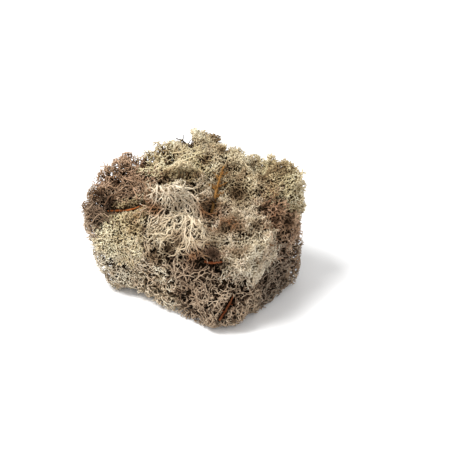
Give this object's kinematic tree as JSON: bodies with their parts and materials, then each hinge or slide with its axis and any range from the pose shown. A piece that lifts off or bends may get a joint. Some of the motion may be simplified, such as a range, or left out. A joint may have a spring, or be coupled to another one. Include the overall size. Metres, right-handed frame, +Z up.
{
  "type": "reindeer moss clump",
  "caption": "Clump of entangled reindeer lichen tufts in cream, straw and brown, loose and branched on top and pressed flat below, with a few trapped twigs.",
  "frame": {"origin": "bottom centre of the whole clump's bounding box, on the surface that it rests on", "axes": "+Z up; +X along the clump's longer side, towards the brown front right corner; +Y from the front face with the pale fan towards the high crest at the back"},
  "size_m": [0.1506, 0.1144, 0.0995],
  "materials": {
    "cream_lichen": "matte, dry and slightly fuzzy",
    "straw_lichen": "matte, dry and slightly fuzzy",
    "beige_lichen": "matte, dry and slightly fuzzy",
    "grey_lichen": "matte, dry and slightly fuzzy",
    "pink_brown_lichen": "matte and dry",
    "dark_brown_lichen": "matte and dry",
    "peat_lichen": "matte and dry",
    "orange_brown_litter": "dry, slightly satin",
    "black_brown_litter": "dry, matte",
    "red_brown_litter": "dry, slightly satin"
  },
  "bodies": {
    "root": {"tuft_crest": "beige_lichen", "tuft_crest_right": "beige_lichen", "tuft_ridge_pale": "straw_lichen", "tuft_ridge_middle": "straw_lichen", "tuft_brown_upper": "pink_brown_lichen", "tuft_brown_lower": "pink_brown_lichen", "tuft_dark_left": "dark_brown_lichen", "tuft_front_yellow": "straw_lichen", "tuft_fan": "cream_lichen", "tuft_fan_fringe": "cream_lichen", "tuft_front_right": "cream_lichen", "tuft_right_middle": "cream_lichen", "tuft_right_straw": "straw_lichen", "tuft_back_beige": "beige_lichen", "tuft_right_brown": "pink_brown_lichen", "tuft_left_valley": "pink_brown_lichen", "tuft_valley": "grey_lichen", "tuft_hollow": "dark_brown_lichen", "tuft_front_dark": "dark_brown_lichen", "tuft_back_left": "beige_lichen", "tuft_back_middle": "pink_brown_lichen", "tuft_back_right": "grey_lichen", "tuft_low_front_left": "grey_lichen", "tuft_low_front": "cream_lichen", "tuft_low_corner": "dark_brown_lichen", "tuft_low_right": "peat_lichen", "tuft_low_back_right": "dark_brown_lichen", "tuft_low_back": "grey_lichen", "tuft_low_back_left": "dark_brown_lichen", "tuft_low_left": "grey_lichen", "tuft_low_middle": "peat_lichen", "litter_sprig": "orange_brown_litter", "litter_needle": "orange_brown_litter", "litter_dark_twig": "black_brown_litter", "litter_red_stem": "red_brown_litter", "litter_brown_stem": "red_brown_litter"}
  },
  "joints": []
}
